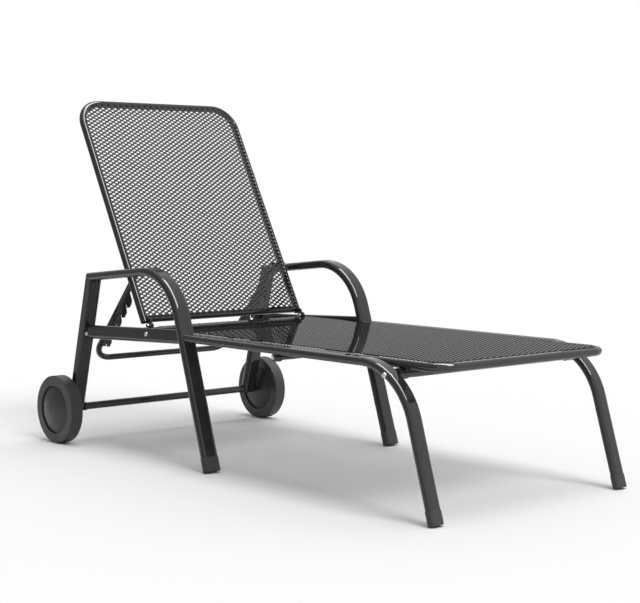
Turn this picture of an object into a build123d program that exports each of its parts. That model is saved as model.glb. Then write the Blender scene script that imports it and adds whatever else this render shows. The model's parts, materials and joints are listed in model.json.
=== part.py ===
from build123d import *
import math
import os

os.makedirs("parts", exist_ok=True)

# All sizes are in millimetres and degrees.
# X runs across the lounger, Y runs from the foot end to the head end, Z is up.
# Lengthwise places are measured from the backrest hinge axis.

# Seat frame of round tube
seat_width = 560.0
seat_length = 1131.5
seat_height = 337.5
seat_tube = 20.0
seat_wall = 1.5
seat_rear_y = 2.0
seat_bend = 46.0

# Arms and rear legs of wide flat oval tube, set out from the seat
arm_width = 48.5
arm_thickness = 23.0
oval_wall = 1.5
side_spacer = 15.0
arm_rear_y = 213.8
arm_rear_rise = 142.2
arm_front_y = -174.8
arm_front_rise = 179.3
arm_foot_y = -344.0
arm_bend = 164.0
leg_below_axle = 9.0

# Front members and legs of narrower flat oval tube
leg_width = 39.0
leg_thickness = 19.5
front_corner_set = 82.5
front_leg_splay = 104.6
front_rise = 1.6
front_bend = 167.0
trim_allowance = 160.0

# Side rails on edge between the rear legs and the arm legs
rail_width = 20.0
rail_height = 38.6
rail_wall = 1.5
rail_bolt_set = 19.9
rail_drop = 16.0
rail_bolt_drop = 4.5
rail_rise = 2.4

# Wheels and axle
wheel_radius = 96.5
wheel_width = 37.0
wheel_ring = 27.0
wheel_recess = 4.5
wheel_outer_rise = 17.5
wheel_inner_rise = 12.5
wheel_groove = 2.5
wheel_hub = 16.0
wheel_dimple = 3.0
wheel_dimple_depth = 2.5
wheel_shoulder = 2.0
wheel_bore_depth = 20.0
wheel_side_play = 0.4
axle_y = 317.3
axle_rod = 10.0
axle_tube = 21.0
axle_tube_wall = 1.5
axle_collar = 24.0
axle_collar_length = 10.0
wheel_spacer = 18.0
wheel_spacer_length = 3.75

# Foot caps
cap_wall = 1.0
arm_cap_height = 38.0
front_cap_height = 33.0
cap_sole = 5.0
cap_play = 0.1
sole_flat = 1.2

# Expanded metal sheets
sheet = 1.5
sheet_gap = 0.2
sheet_inset = 11.5
sheet_margin = 10.0
gap_across = 10
seat_gap_rows = 20
back_gap_rows = 13
strand = 9.0

# Crossbars under the seat
front_bar = 22.0
front_bar_wall = 1.5
front_bar_set = 120.5
front_collar = 26.0
front_collar_length = 25.0
front_collar_wrap = 3.0
mid_bar = 16.0
mid_bar_y = -600.0
mid_lug = 22.0
mid_lug_inner = 17.0
mid_lug_length = 18.0
drilled_depth = 24.0

# Backrest hinge
hinge_lift = 15.5
lug = 5.0
lug_gap = 0.5
lug_inset = 10.0
seat_lug_eye = 9.0
seat_lug_foot = 8.0
seat_lug_base = 7.0
lug_corner = 1.25
back_lug_eye = 5.2
back_lug_shoulder = 5.0
back_lug_shoulder_y = 2.0
back_lug_shoulder_z = 14.0
back_lug_root = 6.0
swing_clearance = 0.4
notch_inset = 12.0
notch_along = 14.0

# Backrest frame of round tube
back_angle = 61.3
back_inset = 6.0
back_tube = 20.0
back_wall = 1.5
back_start = 16.4
back_length = 715.4
back_bend = 70.0

# Prop bar and its toothed racks
prop_rod = 17.5
prop_pivot_along = 174.8
prop_slope = 48.2
prop_length = 358.4
prop_bend = 57.0
pivot_spacer = 14.0
pivot_spacer_length = 12.25
rack_plate = 5.0
notch_count = 5
notch_first = 112.0
notch_pitch = 40.0
notch_depth_line = 19.0
notch_width = 10.0
finger_reach = 25.0
finger_root = 12.0
finger_nose = 3.0
finger_drop = 11.0
finger_flat = 9.0
rack_tail = 20.0

# Catch bar between the rails
catch_bar = 8.0
catch_ahead = 24.5
catch_drop = 29.5

# Fasteners
dome_shank = 8.0
dome_head = 13.0
dome_head_height = 5.0
dome_round = 2.8
seat_bolt_y = -65.0
seat_bolt_spacer = 16.0
seat_bolt_entry = 8.0
rail_nut = 13.0
rail_nut_height = 5.0
hex_shank = 6.0
hex_flats = 10.0
hex_nut_height = 5.0
hex_head_height = 4.0
hole_play = 0.1
running_clearance = 0.05
face_gap = 0.3
weld_gap = 0.1

# Values that follow from the sizes above
seat_radius = seat_tube / 2
back_radius = back_tube / 2
prop_radius = prop_rod / 2
half_seat = seat_width / 2
half_frame = half_seat + seat_radius + side_spacer + rail_width / 2
half_back = half_seat - back_inset
half_prop = half_back - back_radius - pivot_spacer_length - prop_radius
half_stack = half_seat - lug_inset
notch_inner = half_stack - notch_inset
arm_inner_edge = half_frame - arm_width / 2
arm_outer_edge = half_frame + arm_width / 2
leg_inner_edge = half_frame - leg_width / 2
leg_outer_edge = half_frame + leg_width / 2
rail_inner_face = half_frame - rail_width / 2
rail_outer_face = half_frame + rail_width / 2
hinge_z = seat_height + hinge_lift
axle_z = wheel_radius
hub_proud = wheel_inner_rise - wheel_recess
arm_rear_z = seat_height + arm_rear_rise
arm_front_z = seat_height + arm_front_rise
seat_foot_y = -seat_length
front_corner_y = seat_foot_y + front_corner_set
front_foot_y = front_corner_y - front_leg_splay
front_height = seat_height + front_rise
front_bar_y = seat_foot_y + front_bar_set
rail_rear_z = seat_height - rail_drop
rear_leg_run = (arm_rear_z - rail_rear_z) / (arm_rear_z - axle_z)
rail_bolt_y = arm_rear_y + (axle_y - arm_rear_y) * rear_leg_run - rail_bolt_set
catch_y = rail_bolt_y - catch_ahead
catch_z = seat_height - catch_drop
front_bar_z = seat_height - seat_radius - front_bar / 2 - weld_gap
mid_bar_z = seat_height - seat_radius - mid_bar / 2 - weld_gap
reach = 4000.0
sides = (("right", -1), ("left", 1))
nodes = {}


# Helpers
def spot(place, x=0.0):
    return Vector(x, place[0], place[1])


def unit(start, end):
    span = math.hypot(end[0] - start[0], end[1] - start[1])
    return ((end[0] - start[0]) / span, (end[1] - start[1]) / span)


def moved(place, direction, distance):
    return (place[0] + direction[0] * distance, place[1] + direction[1] * distance)


def run(points, bend=0.0):
    if len(points) == 2:
        return Line(*points)
    return FilletPolyline(*points, radius=bend)


def oval_solid(points, bend, width, height):
    path = run(points, bend)
    start = Plane(origin=path @ 0, x_dir=(1, 0, 0), z_dir=path % 0)
    return sweep(start * SlotOverall(width, height), path=path)


def oval_tube(points, bend, width, thickness):
    outer = oval_solid(points, bend, width, thickness)
    bore = oval_solid(points, bend, width - 2 * oval_wall, thickness - 2 * oval_wall)
    return outer - bore


def oval_tool(points, bend, width, thickness):
    return oval_solid(points, bend, width + 2 * weld_gap, thickness + 2 * weld_gap)


def round_solid(points, bend, radius):
    path = run(points, bend)
    start = Plane(origin=path @ 0, z_dir=path % 0)
    return sweep(start * Circle(radius), path=path)


def round_tube(points, bend, radius, wall):
    return round_solid(points, bend, radius) - round_solid(points, bend, radius - wall)


def beyond(place, direction):
    cut = Plane(origin=spot(place), z_dir=(0, direction[0], direction[1]))
    return cut * Box(reach, reach, reach, align=(Align.CENTER, Align.CENTER, Align.MIN))


def pin(radius, x_from, x_to, place):
    base = Plane(origin=spot(place, min(x_from, x_to)), z_dir=(1, 0, 0))
    length = abs(x_to - x_from)
    return base * Cylinder(radius, length, align=(Align.CENTER, Align.CENTER, Align.MIN))


def sleeve(radius, bore, x_from, x_to, place):
    return pin(radius, x_from, x_to, place) - pin(bore, x_from, x_to, place)


def dome(x_face, side, place):
    head = pin(dome_head / 2, x_face, x_face + side * dome_head_height, place)
    rims = head.edges().filter_by(GeomType.CIRCLE).sort_by(Axis.X)
    rim = rims[-1] if side > 0 else rims[0]
    return fillet(rim, dome_round)


def hexagon(x_from, x_to, place, flats):
    base = Plane(origin=spot(place, min(x_from, x_to)), x_dir=(0, 1, 0), z_dir=(1, 0, 0))
    outline = RegularPolygon(flats / 2, 6, major_radius=False)
    return base * extrude(outline, abs(x_to - x_from))


def plate(face, x_from, x_to):
    return Pos(min(x_from, x_to), 0, 0) * extrude(Plane.YZ * face, abs(x_to - x_from))


def shifted(shape, x):
    return Pos(x, 0, 0) * shape


# Side profile lines
arm_rear = (arm_rear_y, arm_rear_z)
arm_front = (arm_front_y, arm_front_z)
arm_foot = (arm_foot_y, 0.0)
axle = (axle_y, axle_z)
front_corner = (front_corner_y, front_height)
front_foot = (front_foot_y, 0.0)
arm_line = unit(arm_front, arm_rear)
arm_leg_line = unit(arm_front, arm_foot)
rear_leg_line = unit(arm_rear, axle)
front_leg_line = unit(front_corner, front_foot)
mitre_span = math.hypot(arm_line[0] + rear_leg_line[0], arm_line[1] + rear_leg_line[1])
mitre_normal = (
    (arm_line[0] + rear_leg_line[0]) / mitre_span,
    (arm_line[1] + rear_leg_line[1]) / mitre_span,
)
mitre_back = (-mitre_normal[0], -mitre_normal[1])
arm_leg_front = (arm_leg_line[1], -arm_leg_line[0])
arm_leg_back = (-arm_leg_line[1], arm_leg_line[0])
rear_leg_front = (rear_leg_line[1], -rear_leg_line[0])


def arm_leg_face(outward):
    return moved(arm_foot, outward, arm_thickness / 2 + weld_gap)


def sole_spot(foot, line, thickness):
    low_edge = (thickness / 2 + cap_play + cap_wall) * abs(line[0])
    return moved(foot, line, (low_edge - sole_flat) / line[1])


arm_sole = sole_spot(arm_foot, arm_leg_line, arm_thickness)
front_sole = sole_spot(front_foot, front_leg_line, leg_thickness)


# Arm tubes, bent into the arm legs and mitred at the rear
arm_points = [
    spot(moved(arm_rear, arm_line, arm_width)),
    spot(arm_front),
    spot(moved(arm_sole, arm_leg_line, -cap_sole)),
]
arm_shape = oval_tube(arm_points, arm_bend, arm_width, arm_thickness)
arm_shape -= beyond(moved(arm_rear, mitre_normal, -weld_gap / 2), mitre_normal)

# Rear legs, mitred under the arm and drilled for the axle
leg_end = moved(axle, rear_leg_line, leg_below_axle)
rear_points = [spot(moved(arm_rear, rear_leg_line, -arm_width)), spot(leg_end)]
rear_shape = oval_tube(rear_points, 0.0, arm_width, arm_thickness)
rear_shape -= beyond(moved(arm_rear, mitre_normal, weld_gap / 2), mitre_back)
rear_shape -= pin(axle_rod / 2 + hole_play, -arm_width, arm_width, axle)

# Front members, bent down into the front legs
front_join = arm_leg_face(arm_leg_front)
front_points = [
    spot((arm_foot_y + trim_allowance, front_height)),
    spot(front_corner),
    spot(moved(front_sole, front_leg_line, -cap_sole)),
]
front_bar_spot = (front_bar_y, front_bar_z)
front_shape = oval_tube(front_points, front_bend, leg_width, leg_thickness)
front_shape -= beyond(front_join, arm_leg_back)
front_shape -= pin(dome_shank / 2 + hole_play, -leg_width, leg_width, front_bar_spot)

# Side rails with their bolt holes
rail_line = (-math.cos(math.radians(rail_rise)), math.sin(math.radians(rail_rise)))
rail_middle = (rail_bolt_y, rail_rear_z)
rail_bolt_spot = (rail_bolt_y, rail_rear_z - rail_bolt_drop)
seat_bolt_spot = (seat_bolt_y, seat_height)
rail_ends = [
    spot(moved(rail_middle, rail_line, -trim_allowance)),
    spot(moved(rail_middle, rail_line, arm_rear_y - arm_foot_y)),
]
rear_leg_face = moved(axle, rear_leg_front, arm_thickness / 2 + weld_gap)
rear_leg_inward = (-rear_leg_front[0], -rear_leg_front[1])


def rail_section(width, height):
    path = run(rail_ends)
    start = Plane(origin=path @ 0, x_dir=(1, 0, 0), z_dir=path % 0)
    return sweep(start * SlotOverall(height, width, rotation=90), path=path)


rail_shape = rail_section(rail_width, rail_height)
rail_shape -= rail_section(rail_width - 2 * rail_wall, rail_height - 2 * rail_wall)
rail_tool = rail_section(rail_width + 2 * weld_gap, rail_height + 2 * weld_gap)
rail_shape -= beyond(rear_leg_face, rear_leg_inward)
rail_shape -= beyond(arm_leg_face(arm_leg_back), arm_leg_front)
rail_shape -= pin(dome_shank / 2 + hole_play, -rail_width, rail_width, rail_bolt_spot)
rail_shape -= pin(dome_shank / 2 + hole_play, -rail_width, rail_width, seat_bolt_spot)


# Foot caps, one cup shape for each leg line
def foot_cap(sole, line, width, thickness, height):
    top = moved(sole, line, -height)
    inside = moved(sole, line, -cap_sole)
    wide = width + 2 * cap_play
    thick = thickness + 2 * cap_play
    cup = oval_solid([spot(top), spot(sole)], 0.0, wide + 2 * cap_wall, thick + 2 * cap_wall)
    socket = oval_solid([spot(top), spot(inside)], 0.0, wide, thick)
    return cup - socket - beyond((0.0, 0.0), (0.0, -1.0))


arm_cap = foot_cap(arm_sole, arm_leg_line, arm_width, arm_thickness, arm_cap_height)
front_cap = foot_cap(front_sole, front_leg_line, leg_width, leg_thickness, front_cap_height)

for name, side in sides:
    x = side * half_frame
    nodes["arm_tube_" + name] = shifted(arm_shape, x)
    nodes["rear_leg_" + name] = shifted(rear_shape, x)
    nodes["front_leg_" + name] = shifted(front_shape, x)
    nodes["side_rail_" + name] = shifted(rail_shape, x)
    nodes["arm_foot_cap_" + name] = shifted(arm_cap, x)
    nodes["front_foot_cap_" + name] = shifted(front_cap, x)

# Seat frame, a U of round tube with a rear cross tube
seat_points = [
    Vector(-half_seat, seat_rear_y + seat_radius, seat_height),
    Vector(-half_seat, seat_foot_y, seat_height),
    Vector(half_seat, seat_foot_y, seat_height),
    Vector(half_seat, seat_rear_y + seat_radius, seat_height),
]
seat_shape = round_tube(seat_points, seat_bend, seat_radius, seat_wall)
for name, side in sides:
    entry = side * (half_seat - seat_bolt_entry)
    outside = side * (half_seat + seat_tube)
    seat_shape -= pin(dome_shank / 2 + hole_play, entry, outside, seat_bolt_spot)
nodes["seat_frame"] = seat_shape
seat_tool = round_solid(seat_points, seat_bend, seat_radius + weld_gap)
seat_rear = (seat_rear_y, seat_height)
rear_tube = sleeve(seat_radius, seat_radius - seat_wall, -half_seat, half_seat, seat_rear)
nodes["seat_rear_tube"] = rear_tube - seat_tool
rear_tool = pin(seat_radius + weld_gap, -half_seat, half_seat, seat_rear)

# Hinge lugs, bolts and nuts
hinge = (0.0, hinge_z)
back_up = (math.cos(math.radians(back_angle)), math.sin(math.radians(back_angle)))
back_front = (-back_up[1], back_up[0])
back_base = moved(hinge, back_front, -hinge_lift)


def on_back(along):
    return moved(back_base, back_up, along)


def disc(place, radius):
    return Pos(place[0], place[1]) * Circle(radius)


def hull(*discs):
    edges = []
    for shape in discs:
        edges += shape.edges()
    return make_hull(edges)


back_bottom = on_back(back_start + back_radius)
hinge_hole = disc(hinge, hex_shank / 2 + running_clearance)
seat_lug_face = hull(
    disc(hinge, seat_lug_eye),
    disc((seat_rear_y - seat_lug_foot, seat_height + seat_lug_base), lug_corner),
    disc((seat_rear_y + seat_lug_foot, seat_height + seat_lug_base), lug_corner),
)
seat_lug_face -= hinge_hole
swing_start = math.degrees(math.atan2(seat_height - hinge_z, seat_rear_y))
swing_radius = math.hypot(seat_rear_y, hinge_lift)
swing = CenterArc((0.0, hinge_z), swing_radius, swing_start, back_angle)
back_lug_face = hull(
    disc(hinge, back_lug_eye),
    disc((back_lug_shoulder_y, hinge_z + back_lug_shoulder_z), back_lug_shoulder),
    disc(back_bottom, back_lug_root),
)
back_lug_face -= SlotArc(swing, seat_tube + 2 * swing_clearance)
back_lug_face -= hinge_hole

# Backrest frame in its own sloping plane
back_plane = Plane(
    origin=spot(back_base), x_dir=(1, 0, 0), z_dir=(0, back_front[0], back_front[1])
)
back_points = [
    spot(on_back(back_start), -half_back),
    spot(on_back(back_length), -half_back),
    spot(on_back(back_length), half_back),
    spot(on_back(back_start), half_back),
]
prop_pivot = on_back(prop_pivot_along)
back_shape = round_tube(back_points, back_bend, back_radius, back_wall)
pivot_reach = half_back + back_tube
back_shape -= pin(dome_shank / 2 + hole_play, -pivot_reach, pivot_reach, prop_pivot)
nodes["back_frame"] = back_shape
back_tool = round_solid(back_points, back_bend, back_radius + weld_gap)
bottom_tube = sleeve(back_radius, back_radius - back_wall, -half_back, half_back, back_bottom)
nodes["back_bottom_tube"] = bottom_tube - back_tool
bottom_tool = pin(back_radius + weld_gap, -half_back, half_back, back_bottom)

seat_lugs = []
back_lugs = []
hinge_bolts = []
hinge_nuts = []
for name, side in sides:
    inner = side * (half_stack - lug_gap / 2)
    outer = side * (half_stack + lug_gap / 2)
    inner_face = inner - side * lug
    outer_face = outer + side * lug
    seat_lugs.append(plate(seat_lug_face, outer, outer_face) - rear_tool - seat_tool)
    back_lugs.append(plate(back_lug_face, inner, inner_face) - bottom_tool - back_tool)
    low = min(inner_face, outer_face) - face_gap
    high = max(inner_face, outer_face) + face_gap
    shank = pin(hex_shank / 2, low - hex_nut_height, high, hinge)
    hinge_bolts.append(shank + hexagon(high, high + hex_head_height, hinge, hex_flats))
    nut = hexagon(low, low - hex_nut_height, hinge, hex_flats)
    hinge_nuts.append(nut - pin(hex_shank / 2 + hole_play, low, low - hex_nut_height, hinge))
nodes["seat_hinge_lugs"] = Part() + seat_lugs
nodes["back_hinge_lugs"] = Part() + back_lugs
nodes["hinge_bolts"] = Part() + hinge_bolts
nodes["hinge_nuts"] = Part() + hinge_nuts


# Expanded metal sheets as coarse nets of diamond gaps
def net(width, start, end, corner, rows, notch_end):
    middle = (start + end) / 2
    outline = Pos(0, middle) * Rectangle(width, end - start)
    far = outline.vertices().group_by(Axis.Y)[-1]
    outline = fillet(far, corner)
    cut_width = width / 2 - notch_inner
    for name, side in sides:
        place = Pos(side * (notch_inner + cut_width / 2), (start + notch_end) / 2)
        outline -= place * Rectangle(cut_width, notch_end - start)
    inside = width - 2 * seat_tube - 2 * sheet_margin
    low = notch_end + sheet_margin
    high = end - seat_tube - sheet_margin
    step_x = inside / gap_across
    step_y = (high - low) / rows
    gap = Polygon(
        (-step_x / 2 + strand / 2, 0),
        (0, -step_y / 2 + strand / 4),
        (step_x / 2 - strand / 2, 0),
        (0, step_y / 2 - strand / 4),
    )
    places = Pos(0, (low + high) / 2) * GridLocations(step_x, step_y, gap_across, rows)
    return outline - [place * gap for place in places]


seat_sheet_z = seat_height + seat_radius + sheet_gap
seat_sheet_width = seat_width + seat_tube - 2 * sheet_inset
seat_sheet_rear = -(seat_rear_y + seat_radius - sheet_inset)
seat_sheet_foot = -(seat_foot_y - seat_radius + sheet_inset)
seat_corner = seat_bend + seat_radius - sheet_inset
seat_face = net(
    seat_sheet_width, seat_sheet_rear, seat_sheet_foot, seat_corner, seat_gap_rows, notch_along
)
seat_plane = Plane(origin=(0, 0, seat_sheet_z), x_dir=(-1, 0, 0), z_dir=(0, 0, 1))
nodes["seat_mesh"] = seat_plane * extrude(seat_face, sheet)

back_sheet_width = 2 * half_back + back_tube - 2 * sheet_inset
back_sheet_top = back_length + back_radius - sheet_inset
back_corner = back_bend + back_radius - sheet_inset
back_face = net(
    back_sheet_width, back_start, back_sheet_top, back_corner, back_gap_rows,
    back_start + notch_along,
)
back_sheet_plane = back_plane.offset(back_radius + sheet_gap)
nodes["back_mesh"] = back_sheet_plane * extrude(back_face, sheet)

# Crossbars under the seat with their collars, lugs and bolts
front_tool = oval_tool(front_points, front_bend, leg_width, leg_thickness)
collar_start = leg_inner_edge - front_collar_length
nodes["front_crossbar"] = sleeve(
    front_bar / 2, front_bar / 2 - front_bar_wall, -collar_start, collar_start, front_bar_spot
)
mid_spot = (mid_bar_y, mid_bar_z)
lug_inner = half_frame - mid_lug_inner
lug_outer = lug_inner + mid_lug_length
member_under = front_height - leg_thickness / 2 - weld_gap
mid_rod = pin(mid_bar / 2, -lug_inner + weld_gap, lug_inner - weld_gap, mid_spot)
front_collars = []
front_bolts = []
mid_lugs = []
mid_bolts = []
for name, side in sides:
    collar_end = side * (leg_inner_edge + front_collar_wrap)
    collar = sleeve(
        front_collar / 2, dome_shank / 2 + hole_play,
        side * (collar_start + weld_gap), collar_end, front_bar_spot,
    )
    front_collars.append(collar - shifted(front_tool, side * half_frame) - seat_tool)
    bolt_face = side * (leg_outer_edge + weld_gap)
    bolt_end = side * (collar_start + 2 * weld_gap)
    front_bolts.append(dome(bolt_face, side, front_bar_spot) + pin(
        dome_shank / 2, bolt_face, bolt_end, front_bar_spot
    ))
    mid_lug_shape = sleeve(
        mid_lug / 2, hex_shank / 2 + hole_play, side * lug_inner, side * lug_outer, mid_spot
    )
    mid_lugs.append(mid_lug_shape - beyond((0.0, member_under), (0.0, 1.0)))
    mid_rod -= pin(
        hex_shank / 2 + hole_play, side * (lug_inner - drilled_depth), side * lug_inner, mid_spot
    )
    nut_face = side * (lug_outer + weld_gap)
    mid_nut = hexagon(nut_face, nut_face + side * hex_nut_height, mid_spot, hex_flats)
    stud_end = side * (lug_inner - drilled_depth + hole_play)
    mid_bolts.append(mid_nut + pin(hex_shank / 2, nut_face, stud_end, mid_spot))
nodes["front_crossbar_collars"] = Part() + front_collars
nodes["front_bolts"] = Part() + front_bolts
nodes["mid_crossbar"] = mid_rod
nodes["mid_bar_lugs"] = Part() + mid_lugs
nodes["mid_bar_bolts"] = Part() + mid_bolts

# Catch bar with its ends shaped to the rails
catch_spot = (catch_y, catch_z)
catch_shape = pin(catch_bar / 2, -half_frame, half_frame, catch_spot)
for name, side in sides:
    catch_shape -= shifted(rail_tool, side * half_frame)
nodes["catch_bar"] = catch_shape.solids().sort_by(SortBy.VOLUME)[-1]

# Rail bolts, seat bolts and their spacers
rail_bolts = []
rail_nuts = []
seat_bolts = []
seat_spacers = []
for name, side in sides:
    face = side * (rail_outer_face + weld_gap)
    nut_face = side * (rail_inner_face - weld_gap)
    nut_end = nut_face - side * rail_nut_height
    rail_bolts.append(dome(face, side, rail_bolt_spot) + pin(
        dome_shank / 2, face, nut_end, rail_bolt_spot
    ))
    nut = hexagon(nut_face, nut_end, rail_bolt_spot, rail_nut)
    rail_nuts.append(nut - pin(dome_shank / 2 + hole_play, nut_face, nut_end, rail_bolt_spot))
    entry = side * (half_seat - seat_bolt_entry + hole_play)
    seat_bolts.append(dome(face, side, seat_bolt_spot) + pin(
        dome_shank / 2, face, entry, seat_bolt_spot
    ))
    spacer = sleeve(
        seat_bolt_spacer / 2, dome_shank / 2 + hole_play, nut_face, side * half_seat, seat_bolt_spot
    )
    spacer -= seat_tool
    seat_spacers.append(spacer.solids().sort_by(Axis.X)[-1 if side > 0 else 0])
nodes["rail_bolts"] = Part() + rail_bolts
nodes["rail_nuts"] = Part() + rail_nuts
nodes["seat_bolts"] = Part() + seat_bolts
nodes["seat_bolt_spacers"] = Part() + seat_spacers

# Axle, its collars and wheel spacers
rear_tool_side = oval_tool(rear_points, 0.0, arm_width, arm_thickness)
collar_inner = arm_inner_edge - axle_collar_length
nodes["axle_tube"] = sleeve(
    axle_tube / 2, axle_tube / 2 - axle_tube_wall, -collar_inner, collar_inner, axle
)
wheel_inner = arm_outer_edge + wheel_spacer_length + hub_proud
axle_end = wheel_inner + wheel_bore_depth - wheel_side_play
nodes["axle_rod"] = pin(axle_rod / 2, -axle_end, axle_end, axle)
axle_collars = []
wheel_spacers = []
for name, side in sides:
    leg_tool = shifted(rear_tool_side, side * half_frame)
    collar = sleeve(
        axle_collar / 2, axle_rod / 2 + hole_play,
        side * (collar_inner + weld_gap), side * arm_inner_edge, axle,
    )
    axle_collars.append(collar - leg_tool)
    spacer_end = side * (wheel_inner - hub_proud - wheel_side_play)
    spacer = sleeve(
        wheel_spacer / 2, axle_rod / 2 + hole_play, side * arm_outer_edge, spacer_end, axle
    )
    wheel_spacers.append(spacer - leg_tool)
nodes["axle_collars"] = Part() + axle_collars
nodes["wheel_spacers"] = Part() + wheel_spacers

# Wheels, turned about the axle, domed on both sides, with a blind bore from the inner side
disc_radius = wheel_radius - wheel_ring - wheel_groove
ring_inner = wheel_radius - wheel_ring


def dome_drop(rise, radius):
    curve = (rise ** 2 + disc_radius ** 2) / (2 * rise)
    return curve - math.sqrt(curve ** 2 - radius ** 2)


outer_top = wheel_width - wheel_recess + wheel_outer_rise
half_disc = disc_radius / 2
bore = axle_rod / 2 + running_clearance
hub_edge = dome_drop(wheel_inner_rise, wheel_hub) - hub_proud
dimple_edge = outer_top - dome_drop(wheel_outer_rise, wheel_dimple)
inner_arc = ThreePointArc(
    (hub_edge, wheel_hub),
    (dome_drop(wheel_inner_rise, half_disc) - hub_proud, half_disc),
    (wheel_recess, disc_radius),
)
ring_line = Polyline(
    (wheel_recess, disc_radius),
    (wheel_recess, ring_inner),
    (0, ring_inner),
    (0, wheel_radius),
    (wheel_width, wheel_radius),
    (wheel_width, ring_inner),
    (wheel_width - wheel_recess, ring_inner),
    (wheel_width - wheel_recess, disc_radius),
)
outer_arc = ThreePointArc(
    (wheel_width - wheel_recess, disc_radius),
    (outer_top - dome_drop(wheel_outer_rise, half_disc), half_disc),
    (dimple_edge, wheel_dimple),
)
hub_line = Polyline(
    (dimple_edge, wheel_dimple),
    (outer_top - wheel_dimple_depth, 0),
    (wheel_bore_depth, 0),
    (wheel_bore_depth, bore),
    (-hub_proud, bore),
    (-hub_proud, wheel_hub),
    (hub_edge, wheel_hub),
)
wheel_face = make_face([inner_arc, ring_line, outer_arc, hub_line])
shoulders = wheel_face.vertices().group_by(Axis.Y)[-1]
wheel_face = fillet(shoulders, wheel_shoulder)
wheel_shape = revolve(wheel_face, axis=Axis.X)
for name, side in sides:
    turned = wheel_shape if side > 0 else Rot(0, 0, 180) * wheel_shape
    nodes["wheel_" + name] = Pos(side * wheel_inner, axle_y, axle_z) * turned

# Prop bar, its pivots and racks
prop_down = (math.cos(math.radians(prop_slope)), -math.sin(math.radians(prop_slope)))
prop_under = (prop_down[1], -prop_down[0])
prop_low = moved(prop_pivot, prop_down, prop_length)
prop_points = [
    spot(prop_pivot, -half_prop),
    spot(prop_low, -half_prop),
    spot(prop_low, half_prop),
    spot(prop_pivot, half_prop),
]
prop_shape = round_solid(prop_points, prop_bend, prop_radius)
for name, side in sides:
    prop_shape += Pos(spot(prop_pivot, side * half_prop)) * Sphere(prop_radius)
pivot_hole = dome_shank / 2 + running_clearance
nodes["prop_bar"] = prop_shape - pin(pivot_hole, -half_back, half_back, prop_pivot)
prop_tool = round_solid(prop_points, prop_bend, prop_radius + weld_gap)

half_notch = notch_width / 2
rack_points = [moved(prop_pivot, prop_down, notch_first - finger_reach - finger_root)]
for index in range(notch_count):
    along = moved(prop_pivot, prop_down, notch_first + notch_pitch * index)
    top_y, top_z = moved(along, prop_under, notch_depth_line)
    rack_points.append((top_y - finger_reach, top_z + finger_root))
    rack_points.append((top_y - finger_reach, top_z + finger_nose))
    rack_points.append((top_y - half_notch - finger_flat, top_z - finger_drop))
    rack_points.append((top_y - half_notch, top_z - finger_drop))
    rack_points.append((top_y - half_notch, top_z - half_notch))
    rack_points.append((top_y, top_z))
    rack_points.append((top_y + half_notch, top_z - half_notch))
last_notch = notch_first + notch_pitch * (notch_count - 1)
rack_points.append((top_y + half_notch, top_z - finger_drop))
rack_points.append((top_y + half_notch + finger_flat, top_z - finger_drop))
rack_points.append(moved(prop_pivot, prop_down, last_notch + finger_flat + rack_tail))
rack_face = Polygon(*rack_points, align=None)

pivot_bolts = []
pivot_nuts = []
pivot_spacers = []
for name, side in sides:
    rack_x = side * half_prop
    rack_shape = plate(rack_face, rack_x - rack_plate / 2, rack_x + rack_plate / 2) - prop_tool
    nodes["rack_" + name] = rack_shape.solids().sort_by(SortBy.VOLUME)[-1]
    head_face = side * (half_back + back_radius + weld_gap)
    nut_face = side * (half_prop - prop_radius - face_gap)
    nut_end = nut_face - side * hex_head_height
    pivot_bolts.append(dome(head_face, side, prop_pivot) + pin(
        dome_shank / 2, head_face, nut_end, prop_pivot
    ))
    nut = hexagon(nut_face, nut_end, prop_pivot, rail_nut)
    pivot_nuts.append(nut - pin(dome_shank / 2 + hole_play, nut_face, nut_end, prop_pivot))
    spacer = sleeve(
        pivot_spacer / 2, dome_shank / 2 + hole_play,
        side * (half_prop + prop_radius + face_gap), side * half_back, prop_pivot,
    )
    spacer -= back_tool
    pivot_spacers.append(spacer.solids().sort_by(Axis.X)[0 if side > 0 else -1])
nodes["prop_pivot_bolts"] = Part() + pivot_bolts
nodes["prop_pivot_nuts"] = Part() + pivot_nuts
nodes["prop_pivot_spacers"] = Part() + pivot_spacers

# Centre the lounger on its footprint and write every node
boxes = [shape.bounding_box() for shape in nodes.values()]
front_end = min(box.min.Y for box in boxes)
rear_end = max(box.max.Y for box in boxes)
centred = Pos(0, -(front_end + rear_end) / 2, 0)
for name, shape in nodes.items():
    export_step(centred * shape, "parts/" + name + ".step")
print("hinge axis Y after centring", round(-(front_end + rear_end) / 2, 2))
print("hinge axis Z", round(hinge_z, 2))
print("prop pivot from hinge", [round(value, 2) for value in prop_pivot])
print("wheel middle X", round(wheel_inner + wheel_width / 2, 2), "axle", axle)
for cap_name in ("arm_foot_cap_left", "front_foot_cap_left"):
    strip = (centred * nodes[cap_name]).faces().sort_by(Axis.Z)[0]
    print(cap_name, strip.center(), round(strip.area, 1))
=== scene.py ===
import json
import math

import bpy
from mathutils import Matrix, Vector


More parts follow.
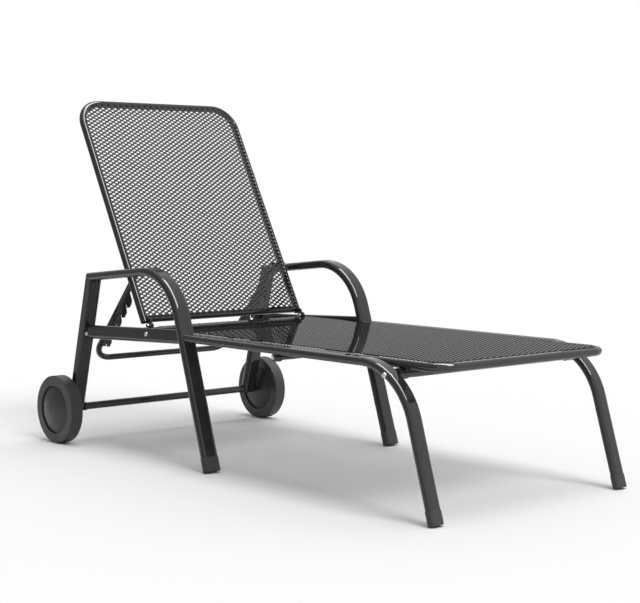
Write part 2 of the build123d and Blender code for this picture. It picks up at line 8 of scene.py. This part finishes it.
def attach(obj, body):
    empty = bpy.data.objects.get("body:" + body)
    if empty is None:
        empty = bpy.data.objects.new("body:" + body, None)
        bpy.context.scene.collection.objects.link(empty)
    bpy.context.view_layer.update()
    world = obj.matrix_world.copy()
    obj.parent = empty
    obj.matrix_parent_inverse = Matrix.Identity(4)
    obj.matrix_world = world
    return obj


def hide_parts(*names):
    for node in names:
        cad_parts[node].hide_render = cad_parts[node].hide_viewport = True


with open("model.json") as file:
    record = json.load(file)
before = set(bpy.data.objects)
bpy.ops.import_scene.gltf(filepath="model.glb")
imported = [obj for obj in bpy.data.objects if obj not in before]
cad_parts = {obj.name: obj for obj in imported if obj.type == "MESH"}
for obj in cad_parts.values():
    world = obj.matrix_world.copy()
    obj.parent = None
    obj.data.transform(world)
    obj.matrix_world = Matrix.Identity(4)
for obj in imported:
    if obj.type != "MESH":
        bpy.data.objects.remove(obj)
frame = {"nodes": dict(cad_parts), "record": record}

scene = bpy.context.scene
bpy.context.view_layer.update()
MM = 0.001

# Sizes in metres, with X towards the sitter's left, Y towards the head end and Z up
joints = {joint["name"]: joint for joint in frame["record"]["behaviour"]["joints"]}
HINGE = Vector(joints["backrest_recline"]["pos_m"])
BACK_ANGLE = math.radians(joints["backrest_recline"]["range_deg"][1])  # its travel down to flat
TUBE_RADIUS = 10 * MM          # tubes of the seat and the backrest
HINGE_LIFT = 15.5 * MM         # hinge axis in front of the backrest tube plane
SEAT_TOP = 347.5 * MM          # crest of the seat tubes
SHEET_DROP = 0.6 * MM          # both sheets sit this far below the crests, in their weld
STRAND_HEIGHT = 2.6 * MM
LONG_WAY = 21.1 * MM           # pitch of the diamonds across the lounger
SHORT_WAY = 12.56 * MM         # pitch of the diamonds along it
WELD = 0.02 * MM               # points of a sheet that lie closer than this are one
SLIVER = 0.02 * MM * MM        # faces of a sheet with less area than this are dropped

# Sizes of the studio in metres, and its levels of light
FLOOR_HALF = 30.0
FLOOR_DROP = 0.5 * MM          # floor just below the feet
PAPER_FADE = (1.2, 2.6)        # distances between which the paper runs out into plain white
SCREEN_RADIUS = 3.0
SCREEN_STEPS = 36
SCREEN_START = -10             # degrees from +X
SCREEN_SWEEP = 225
SCREEN_LOW = 1.1               # height on the sitter's left
SCREEN_TALL = 4.5              # height on the sitter's right
SCREEN_CHANGE = -0.3           # X at which the height changes
SCREEN_FADE = (-1.5, 1.0)      # X between which its level changes
SCREEN_LEVEL = (0.33, 0.42)
FILL_LEVEL = 0.33              # surroundings as a source of light
WHITE_LEVEL = 1.0              # surroundings as the eye and the gloss see them
# Each sun: where it stands, its strength and how wide it looks in degrees
SUNS = {
    "overhead_softbox": ((0.0, 0.0, 1.0), 0.8, 30),
    "foot_end_softbox": ((0.0, -0.643, 0.766), 1.14, 26),
    "side_wash": ((0.853, 0.150, 0.5), 1.12, 90),
}
PANEL_SIZE = (1.38, 4.4)
PANEL_PLACE = (0.69, -1.3, 3.5)
PANEL_POWER = 285.0
CAMERA_PLACE = (-2.5551, -3.0106, 0.7221)
CAMERA_AIM = (0.6486, 0.7575, -0.0745)
CAMERA_SENSOR = 36.0           # millimetres, as is the lens
CAMERA_LENS = 83.55
CAMERA_REACH = 200.0


def linear(colour):
    """Turns an sRGB hex colour into linear RGBA."""
    parts = [int(colour[place:place + 2], 16) / 255 for place in (1, 3, 5)]
    return [p / 12.92 if p <= 0.04045 else ((p + 0.055) / 1.055) ** 2.4 for p in parts] + [1.0]


def put(tree, kind, inputs=None, **settings):
    """Adds a node with its settings; an input takes a value or the socket that feeds it."""
    node = tree.nodes.new(kind)
    for name, value in settings.items():
        setattr(node, name, value)
    for place, value in (inputs or {}).items():
        if isinstance(value, bpy.types.NodeSocket):
            tree.links.new(value, node.inputs[place])
        else:
            node.inputs[place].default_value = value
    return node


def add_object(name, data):
    """Adds an object to the scene, at the origin."""
    thing = bpy.data.objects.new(name, data)
    scene.collection.objects.link(thing)
    return thing


# Materials
def new_material(name):
    """An empty material, its tree and the place on the piece."""
    material = bpy.data.materials.new(name)
    material.use_nodes = True
    tree = material.node_tree
    tree.nodes.clear()
    return material, tree, put(tree, "ShaderNodeTexCoord").outputs["Object"]


def mottle(tree, place, size, detail, colours, roughness):
    """A colour and a roughness that drift together over patches of the given size."""
    drift = put(tree, "ShaderNodeTexNoise", {"Vector": place, "Scale": 1 / size, "Detail": detail})
    colour = put(tree, "ShaderNodeMix", {
        "Factor": drift.outputs["Fac"], "A": linear(colours[0]), "B": linear(colours[1])}, data_type="RGBA")
    # Most of the noise lies between 0.3 and 0.7
    rough = put(tree, "ShaderNodeMapRange", {
        "Value": drift.outputs["Fac"], "From Min": 0.3, "From Max": 0.7,
        "To Min": roughness[0], "To Max": roughness[1]})
    return {"Base Color": colour.outputs["Result"], "Roughness": rough.outputs["Result"]}


def relief(tree, place, size, detail, strength, depth):
    """A normal with bumps of the given size."""
    bumps = put(tree, "ShaderNodeTexNoise", {"Vector": place, "Scale": 1 / size, "Detail": detail})
    bump = put(tree, "ShaderNodeBump", {
        "Height": bumps.outputs["Fac"], "Strength": strength, "Distance": depth})
    return {"Normal": bump.outputs["Normal"]}


# Polyester powder coat on steel tube, glossy anthracite: near black under a clear even
# gloss, with the faint orange peel that a sprayed and baked coat keeps.
def make_powder_coat():
    material, tree, place = new_material("gloss_anthracite_powder_coat")
    # Film thickness and dust drift over about 90 mm
    film = mottle(tree, place, 90 * MM, 3.0, ("#282828", "#313131"), (0.03, 0.05))
    # Orange peel is 1 to 3 mm across; drawn at 5 mm so that it shows
    peel = relief(tree, place, 5 * MM, 1.0, 0.008, 0.3 * MM)
    coat = put(tree, "ShaderNodeBsdfPrincipled", {**film, **peel, "IOR": 1.5})
    put(tree, "ShaderNodeOutputMaterial", {"Surface": coat.outputs["BSDF"]})
    return material


# Expanded mild steel under the same coat: strands with flat tops, which mirror at a low
# angle what stands on the far side.
def make_sheet_coat():
    material, tree, place = new_material("powder_coated_expanded_steel")
    film = mottle(tree, place, 70 * MM, 4.0, ("#282828", "#303030"), (0.03, 0.05))
    # The same orange peel of 1 to 3 mm; drawn at 4 mm so that it shows
    peel = relief(tree, place, 4 * MM, 1.0, 0.008, 0.3 * MM)
    coat = put(tree, "ShaderNodeBsdfPrincipled", {**film, **peel, "IOR": 1.5})
    put(tree, "ShaderNodeOutputMaterial", {"Surface": coat.outputs["BSDF"]})
    return material


# Injection moulded polypropylene, carbon black: satin, with a fine spark-eroded grain.
def make_black_plastic():
    material, tree, place = new_material("moulded_black_polypropylene")
    skin = mottle(tree, place, 40 * MM, 3.0, ("#2c2c2c", "#363636"), (0.38, 0.5))
    # The grain is about 0.3 mm; drawn at 1.5 mm so that it shows
    grain = relief(tree, place, 1.5 * MM, 2.0, 0.15, 0.2 * MM)
    plastic = put(tree, "ShaderNodeBsdfPrincipled", {**skin, **grain, "IOR": 1.49})
    put(tree, "ShaderNodeOutputMaterial", {"Surface": plastic.outputs["BSDF"]})
    return material


# Bright zinc-plated steel bolts and nuts: pale grey metal, softly polished by the barrel.
def make_zinc():
    material, tree, place = new_material("bright_zinc_plated_steel")
    # Spangle about 2 mm across
    spangle = mottle(tree, place, 2 * MM, 3.0, ("#b9b9b9", "#d1d1d1"), (0.24, 0.36))
    metal = put(tree, "ShaderNodeBsdfPrincipled", {**spangle, "Metallic": 1.0})
    put(tree, "ShaderNodeOutputMaterial", {"Surface": metal.outputs["BSDF"]})
    return material


finish_of = {
    "powder_coated_steel": make_powder_coat(),
    "expanded_metal": make_sheet_coat(),
    "black_plastic": make_black_plastic(),
    "zinc_steel": make_zinc(),
}
for part in frame["record"]["subparts"]:
    piece = frame["nodes"][part["node"]]
    if not piece.material_slots:
        piece.data.materials.append(None)
    for slot in piece.material_slots:
        slot.material = finish_of[part["material_slot"]]


# Expanded metal
SHEET_INPUTS = {
    "Pitch": "Vector", "Hole Length": "Float", "Hole Width": "Float", "Hole Flat": "Float",
    "Thickness": "Float", "Lean": "Float", "Columns": "Int", "Rows": "Int", "Half Width": "Float",
    "Near End": "Float", "Far End": "Float", "Corner": "Float", "Notch Half Width": "Float",
    "Notch End": "Float", "Finish": "Material",
}


def add_cell(tree, given, place, at, half):
    """One flat cell: a diamond with a hole whose tips point across and whose flats lie between."""
    ring = put(tree, "GeometryNodeCurvePrimitiveCircle", {"Resolution": 4, "Radius": 1.0})
    diamond = put(tree, "GeometryNodeTransform", {"Geometry": ring.outputs["Curve"], "Scale": half})
    # The circle's two points on the axis become the tips, and its other four the flats
    six = put(tree, "GeometryNodeCurvePrimitiveCircle", {"Resolution": 6, "Radius": 1.0})
    off_axis = put(tree, "ShaderNodeMath", {0: at["Y"]}, operation="ABSOLUTE").outputs[0]
    on_flat = put(tree, "ShaderNodeMath", {0: off_axis, 1: 0.1}, operation="GREATER_THAN").outputs[0]
    tip = put(tree, "ShaderNodeMath", {0: given["Hole Length"], 1: 0.5}, operation="MULTIPLY").outputs[0]
    reach = put(tree, "ShaderNodeMix", {0: on_flat, 2: tip, 3: given["Hole Flat"]}).outputs[0]
    rise = put(tree, "ShaderNodeMath", {
        0: given["Hole Width"], 1: math.sqrt(3)}, operation="DIVIDE").outputs[0]
    spread = put(tree, "ShaderNodeCombineXYZ", {"X": reach, "Y": rise}).outputs[0]
    hole_at = put(tree, "ShaderNodeVectorMath", {0: place, 1: spread}, operation="MULTIPLY").outputs[0]
    hole = put(tree, "GeometryNodeSetPosition", {"Geometry": six.outputs["Curve"], "Position": hole_at})
    both = put(tree, "GeometryNodeJoinGeometry")
    tree.links.new(diamond.outputs["Geometry"], both.inputs[0])
    tree.links.new(hole.outputs["Geometry"], both.inputs[0])
    return put(tree, "GeometryNodeFillCurve", {"Curve": both.outputs[0]}).outputs[0]


def add_centres(tree, given, half):
    """Two staggered grids of cell centres."""
    count = put(tree, "ShaderNodeCombineXYZ", {"X": given["Columns"], "Y": given["Rows"]}).outputs[0]
    steps = put(tree, "ShaderNodeVectorMath", {0: count, 1: (1, 1, 0)}, operation="SUBTRACT").outputs[0]
    span = put(tree, "ShaderNodeVectorMath", {0: steps, 1: given["Pitch"]}, operation="MULTIPLY").outputs[0]
    wide, long = put(tree, "ShaderNodeSeparateXYZ", {0: span}).outputs[0:2]
    grid = put(tree, "GeometryNodeMeshGrid", {
        "Size X": wide, "Size Y": long, "Vertices X": given["Columns"], "Vertices Y": given["Rows"]})
    ends = put(tree, "ShaderNodeMath", {
        0: given["Near End"], 1: given["Far End"]}, operation="ADD").outputs[0]
    middle = put(tree, "ShaderNodeMath", {0: ends, 1: 0.5}, operation="MULTIPLY").outputs[0]
    centre = put(tree, "ShaderNodeCombineXYZ", {"Y": middle}).outputs[0]
    stagger = put(tree, "ShaderNodeVectorMath", {0: centre, 1: half}, operation="ADD").outputs[0]
    centres = put(tree, "GeometryNodeJoinGeometry")
    for start in (centre, stagger):
        shifted = put(tree, "GeometryNodeTransform", {
            "Geometry": grid.outputs["Mesh"], "Translation": start})
        tree.links.new(shifted.outputs["Geometry"], centres.inputs[0])
    return centres.outputs[0]


def add_outline(tree, given, place, at):
    """The nearest point of the outline's core, which the corner radius surrounds, the way out from
    it and how far out a place lies."""
    edge = put(tree, "ShaderNodeCombineXYZ", {"X": given["Half Width"], "Y": given["Far End"]}).outputs[0]
    inset = put(tree, "ShaderNodeCombineXYZ", {"X": given["Corner"], "Y": given["Corner"]}).outputs[0]
    core_high = put(tree, "ShaderNodeVectorMath", {0: edge, 1: inset}, operation="SUBTRACT").outputs[0]
    core_wide = put(tree, "ShaderNodeMath", {
        0: given["Corner"], 1: given["Half Width"]}, operation="SUBTRACT").outputs[0]
    core_low = put(tree, "ShaderNodeCombineXYZ", {"X": core_wide, "Y": given["Near End"]}).outputs[0]
    above = put(tree, "ShaderNodeVectorMath", {0: place, 1: core_low}, operation="MAXIMUM").outputs[0]
    core = put(tree, "ShaderNodeVectorMath", {0: above, 1: core_high}, operation="MINIMUM").outputs[0]
    start_y = put(tree, "ShaderNodeMath", {0: at["Y"], 1: given["Near End"]}, operation="MAXIMUM").outputs[0]
    started = put(tree, "ShaderNodeCombineXYZ", {"X": at["X"], "Y": start_y}).outputs[0]
    outward = put(tree, "ShaderNodeVectorMath", {0: started, 1: core}, operation="SUBTRACT").outputs[0]
    distance = put(tree, "ShaderNodeVectorMath", {0: outward}, operation="LENGTH").outputs["Value"]
    return core, outward, distance


def drop_centres(tree, given, at, half, distance, centres):
    """Drops the cells well outside the outline, before the near end and in the hinge notches."""
    half_long, half_short = put(tree, "ShaderNodeSeparateXYZ", {0: half}).outputs[0:2]
    # A cell stays while its centre lies less than a quarter of a pitch outside
    limit = put(tree, "ShaderNodeMath", {
        0: half_long, 1: 0.5, 2: given["Corner"]}, operation="MULTIPLY_ADD").outputs[0]
    outside = put(tree, "ShaderNodeMath", {0: distance, 1: limit}, operation="GREATER_THAN").outputs[0]
    before = put(tree, "ShaderNodeMath", {
        0: at["Y"], 1: given["Near End"]}, operation="LESS_THAN").outputs[0]
    across = put(tree, "ShaderNodeMath", {0: at["X"]}, operation="ABSOLUTE").outputs[0]
    tip_x = put(tree, "ShaderNodeMath", {0: across, 1: half_long}, operation="ADD").outputs[0]
    tip_y = put(tree, "ShaderNodeMath", {0: at["Y"], 1: half_short}, operation="SUBTRACT").outputs[0]
    beside = put(tree, "ShaderNodeMath", {
        0: tip_x, 1: given["Notch Half Width"]}, operation="GREATER_THAN").outputs[0]
    below = put(tree, "ShaderNodeMath", {0: tip_y, 1: given["Notch End"]}, operation="LESS_THAN").outputs[0]
    in_notch = put(tree, "ShaderNodeMath", {0: beside, 1: below}, operation="MULTIPLY").outputs[0]
    off_sheet = put(tree, "ShaderNodeMath", {0: outside, 1: before}, operation="MAXIMUM").outputs[0]
    gone = put(tree, "ShaderNodeMath", {0: off_sheet, 1: in_notch}, operation="MAXIMUM").outputs[0]
    return put(tree, "GeometryNodeDeleteGeometry", {"Geometry": centres, "Selection": gone}).outputs[0]


def weld(tree, mesh):
    """Makes one point of those that lie together."""
    return put(tree, "GeometryNodeMergeByDistance", {"Geometry": mesh, "Distance": WELD}).outputs[0]


def shear_net(tree, given, core, outward, distance, net):
    """Pulls what lies outside the outline in to it, as if sheared off, and drops what is left flat."""
    share = put(tree, "ShaderNodeMath", {0: given["Corner"], 1: distance}, operation="DIVIDE").outputs[0]
    share = put(tree, "ShaderNodeMath", {0: share, 1: 1.0}, operation="MINIMUM").outputs[0]
    inward = put(tree, "ShaderNodeVectorMath", {0: outward, "Scale": share}, operation="SCALE").outputs[0]
    sheared = put(tree, "ShaderNodeVectorMath", {0: core, 1: inward}, operation="ADD").outputs[0]
    moved = put(tree, "GeometryNodeSetPosition", {"Geometry": net, "Position": sheared})
    area = put(tree, "GeometryNodeInputMeshFaceArea").outputs[0]
    empty = put(tree, "ShaderNodeMath", {0: area, 1: SLIVER}, operation="LESS_THAN").outputs[0]
    return put(tree, "GeometryNodeDeleteGeometry", {
        "Geometry": weld(tree, moved.outputs[0]), "Selection": empty}, domain="FACE").outputs[0]


def raise_strands(tree, given, net):
    """Gives the flat net its height, with strands that lean along the sheet."""
    way = put(tree, "ShaderNodeCombineXYZ", {"Y": given["Lean"], "Z": 1.0}).outputs[0]
    top = put(tree, "GeometryNodeExtrudeMesh", {
        "Mesh": net, "Offset": way, "Offset Scale": given["Thickness"], "Individual": False})
    bottom = put(tree, "GeometryNodeFlipFaces", {0: net})
    whole = put(tree, "GeometryNodeJoinGeometry")
    tree.links.new(top.outputs["Mesh"], whole.inputs[0])
    tree.links.new(bottom.outputs[0], whole.inputs[0])
    return weld(tree, whole.outputs[0])


def make_sheet_tree():
    """Expanded metal: cells laid in two staggered grids, welded into a net, trimmed to a
    round-cornered outline and given their height."""
    tree = bpy.data.node_groups.new("expanded_metal_sheet", "GeometryNodeTree")
    for name, kind in SHEET_INPUTS.items():
        tree.interface.new_socket(name, in_out="INPUT", socket_type="NodeSocket" + kind)
    tree.interface.new_socket("Sheet", in_out="OUTPUT", socket_type="NodeSocketGeometry")
    given = put(tree, "NodeGroupInput").outputs
    place = put(tree, "GeometryNodeInputPosition").outputs[0]
    at = put(tree, "ShaderNodeSeparateXYZ", {0: place}).outputs
    half = put(tree, "ShaderNodeVectorMath", {0: given["Pitch"], "Scale": 0.5}, operation="SCALE").outputs[0]
    core, outward, distance = add_outline(tree, given, place, at)
    cell = add_cell(tree, given, place, at, half)
    centres = drop_centres(tree, given, at, half, distance, add_centres(tree, given, half))
    laid = put(tree, "GeometryNodeInstanceOnPoints", {"Points": centres, "Instance": cell})
    net = put(tree, "GeometryNodeRealizeInstances", {0: laid.outputs[0]})
    net = shear_net(tree, given, core, outward, distance, weld(tree, net.outputs[0]))
    finished = put(tree, "GeometryNodeSetMaterial", {
        "Geometry": raise_strands(tree, given, net), "Material": given["Finish"]})
    put(tree, "NodeGroupOutput", {0: finished.outputs[0]})
    return tree


def make_sheet(name, tree, sizes, placing):
    """Runs the tree on a bare object, keeps its result as a plain mesh and puts it in place."""
    carrier = add_object(name + "_tree", bpy.data.meshes.new(name + "_tree"))
    nodes = carrier.modifiers.new("expanded_metal", "NODES")
    nodes.node_group = tree
    for item in tree.interface.items_tree:
        if item.in_out == "INPUT":
            nodes[item.identifier] = sizes[item.name]
    depsgraph = bpy.context.evaluated_depsgraph_get()
    mesh = bpy.data.meshes.new_from_object(carrier.evaluated_get(depsgraph), depsgraph=depsgraph)
    bpy.data.objects.remove(carrier)
    mesh.name = name
    mesh.transform(placing)
    return add_object(name, mesh)


def frame_matrix(x_axis, y_axis, z_axis, origin):
    """Takes a sheet's own axes and origin to its place on the lounger."""
    axes = Matrix((x_axis, y_axis, z_axis)).transposed().to_4x4()
    return Matrix.Translation(Vector(origin)) @ axes


sheet_tree = make_sheet_tree()
pattern = {
    "Pitch": (LONG_WAY, SHORT_WAY, 0), "Thickness": STRAND_HEIGHT, "Finish": finish_of["expanded_metal"],
    "Columns": 29, "Notch Half Width": 258 * MM,
}

# The seat's sheet runs from the hinge to the foot end
seat_sheet = make_sheet("seat_expanded_metal", sheet_tree, {
    **pattern, "Rows": 94, "Lean": 0.0,
    "Hole Length": 14.5 * MM, "Hole Width": 6.8 * MM, "Hole Flat": 3.3 * MM,
    "Half Width": 274 * MM, "Near End": -0.5 * MM, "Far End": 1125.5 * MM,
    "Corner": 40 * MM, "Notch End": 14 * MM,
}, frame_matrix((-1, 0, 0), (0, -1, 0), (0, 0, 1), (0, HINGE.y, SEAT_TOP - SHEET_DROP)))

# The backrest's sheet runs from the hinge up the backrest, and its strands lean down
back_up = Vector((0, math.cos(BACK_ANGLE), math.sin(BACK_ANGLE)))
back_front = Vector((0, -math.sin(BACK_ANGLE), math.cos(BACK_ANGLE)))
back_sheet = make_sheet("back_expanded_metal", sheet_tree, {
    **pattern, "Rows": 60, "Lean": -0.62,
    "Hole Length": 13.8 * MM, "Hole Width": 6.3 * MM, "Hole Flat": 3.1 * MM,
    "Half Width": 270 * MM, "Near End": 27 * MM, "Far End": 710.9 * MM,
    "Corner": 65.5 * MM, "Notch End": 27 * MM,
}, frame_matrix((1, 0, 0), back_up, back_front, HINGE + back_front * (TUBE_RADIUS - HINGE_LIFT - SHEET_DROP)))

for piece, body, node in ((seat_sheet, "base", "seat_mesh"), (back_sheet, "backrest", "back_mesh")):
    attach(piece, body)
    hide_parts(node)


# Studio
def make_floor():
    """Matt white background paper that runs out into plain white away from the object."""
    mesh = bpy.data.meshes.new("studio_floor")
    mesh.from_pydata(
        [(-FLOOR_HALF, -FLOOR_HALF, 0), (FLOOR_HALF, -FLOOR_HALF, 0),
         (FLOOR_HALF, FLOOR_HALF, 0), (-FLOOR_HALF, FLOOR_HALF, 0)], [], [(0, 1, 2, 3)])
    material, tree, place = new_material("matt_white_background_paper")
    paper = put(tree, "ShaderNodeBsdfDiffuse", {"Color": linear("#fafafa")})
    bright = put(tree, "ShaderNodeEmission", {"Color": linear("#ffffff"), "Strength": WHITE_LEVEL})
    away = put(tree, "ShaderNodeVectorMath", {0: place}, operation="LENGTH").outputs["Value"]
    fade = put(tree, "ShaderNodeMapRange", {
        "Value": away, "From Min": PAPER_FADE[0], "From Max": PAPER_FADE[1]}, interpolation_type="SMOOTHSTEP")
    runout = put(tree, "ShaderNodeMixShader", {
        0: fade.outputs[0], 1: paper.outputs[0], 2: bright.outputs[0]})
    put(tree, "ShaderNodeOutputMaterial", {"Surface": runout.outputs[0]})
    mesh.materials.append(material)
    floor = add_object("studio_floor", mesh)
    floor.location.z = -FLOOR_DROP


def make_surround():
    """Grey screen round the back that only the gloss mirrors, as the dim edge of a studio does."""
    turns = [math.radians(SCREEN_START + SCREEN_SWEEP * step / SCREEN_STEPS)
             for step in range(SCREEN_STEPS + 1)]
    feet = [(SCREEN_RADIUS * math.cos(turn), SCREEN_RADIUS * math.sin(turn), 0.0) for turn in turns]
    tops = [(x, y, SCREEN_LOW if x > SCREEN_CHANGE else SCREEN_TALL) for x, y, z in feet]
    first_top = len(feet)
    mesh = bpy.data.meshes.new("grey_surround")
    mesh.from_pydata(feet + tops, [], [
        (step, step + 1, first_top + step + 1, first_top + step) for step in range(SCREEN_STEPS)])
    material, tree, place = new_material("grey_felt")
    across = put(tree, "ShaderNodeSeparateXYZ", {0: place}).outputs["X"]
    level = put(tree, "ShaderNodeMapRange", {
        "Value": across, "From Min": SCREEN_FADE[0], "From Max": SCREEN_FADE[1],
        "To Min": SCREEN_LEVEL[0], "To Max": SCREEN_LEVEL[1]})
    felt = put(tree, "ShaderNodeEmission", {"Color": linear("#ffffff"), "Strength": level.outputs[0]})
    put(tree, "ShaderNodeOutputMaterial", {"Surface": felt.outputs[0]})
    mesh.materials.append(material)
    surround = add_object("grey_surround", mesh)
    surround.visible_camera = False
    surround.visible_diffuse = False
    surround.visible_shadow = False


def make_world():
    """White surroundings for what the eye and the gloss see, a lower level for the fill light."""
    world = bpy.data.worlds.new("white_studio")
    world.use_nodes = True
    tree = world.node_tree
    tree.nodes.clear()
    ray = put(tree, "ShaderNodeLightPath").outputs
    seen = put(tree, "ShaderNodeMath", {0: ray["Is Camera Ray"], 1: ray["Is Glossy Ray"]}, operation="ADD")
    seen = put(tree, "ShaderNodeMath", {
        0: seen.outputs[0], 1: ray["Is Transmission Ray"]}, operation="ADD", use_clamp=True)
    level = put(tree, "ShaderNodeMapRange", {
        "Value": seen.outputs[0], "To Min": FILL_LEVEL, "To Max": WHITE_LEVEL})
    white = put(tree, "ShaderNodeBackground", {"Color": linear("#ffffff"), "Strength": level.outputs[0]})
    put(tree, "ShaderNodeOutputWorld", {"Surface": white.outputs[0]})
    scene.world = world


def make_lamps():
    """Three soft suns for the matt surfaces, and one long panel overhead for the gloss to mirror."""
    for name, (way, strength, width) in SUNS.items():
        sun = bpy.data.lights.new(name, "SUN")
        sun.energy = strength
        sun.angle = math.radians(width)
        holder = add_object(name, sun)
        holder.rotation_euler = Vector(way).to_track_quat("Z", "Y").to_euler()
        holder.visible_glossy = False
    panel = bpy.data.lights.new("long_softbox", "AREA")
    panel.shape = "RECTANGLE"
    panel.size, panel.size_y = PANEL_SIZE
    panel.energy = PANEL_POWER
    holder = add_object("long_softbox", panel)
    holder.location = PANEL_PLACE
    holder.visible_diffuse = False


def make_camera():
    """Camera at the photograph's place."""
    lens = bpy.data.cameras.new("camera")
    lens.sensor_fit = "HORIZONTAL"
    lens.sensor_width = CAMERA_SENSOR
    lens.lens = CAMERA_LENS
    lens.clip_end = CAMERA_REACH
    camera = add_object("camera", lens)
    camera.location = CAMERA_PLACE
    camera.rotation_euler = Vector(CAMERA_AIM).to_track_quat("-Z", "Y").to_euler()
    scene.camera = camera


make_floor()
make_surround()
make_world()
make_lamps()
make_camera()
scene.view_settings.view_transform = "Standard"
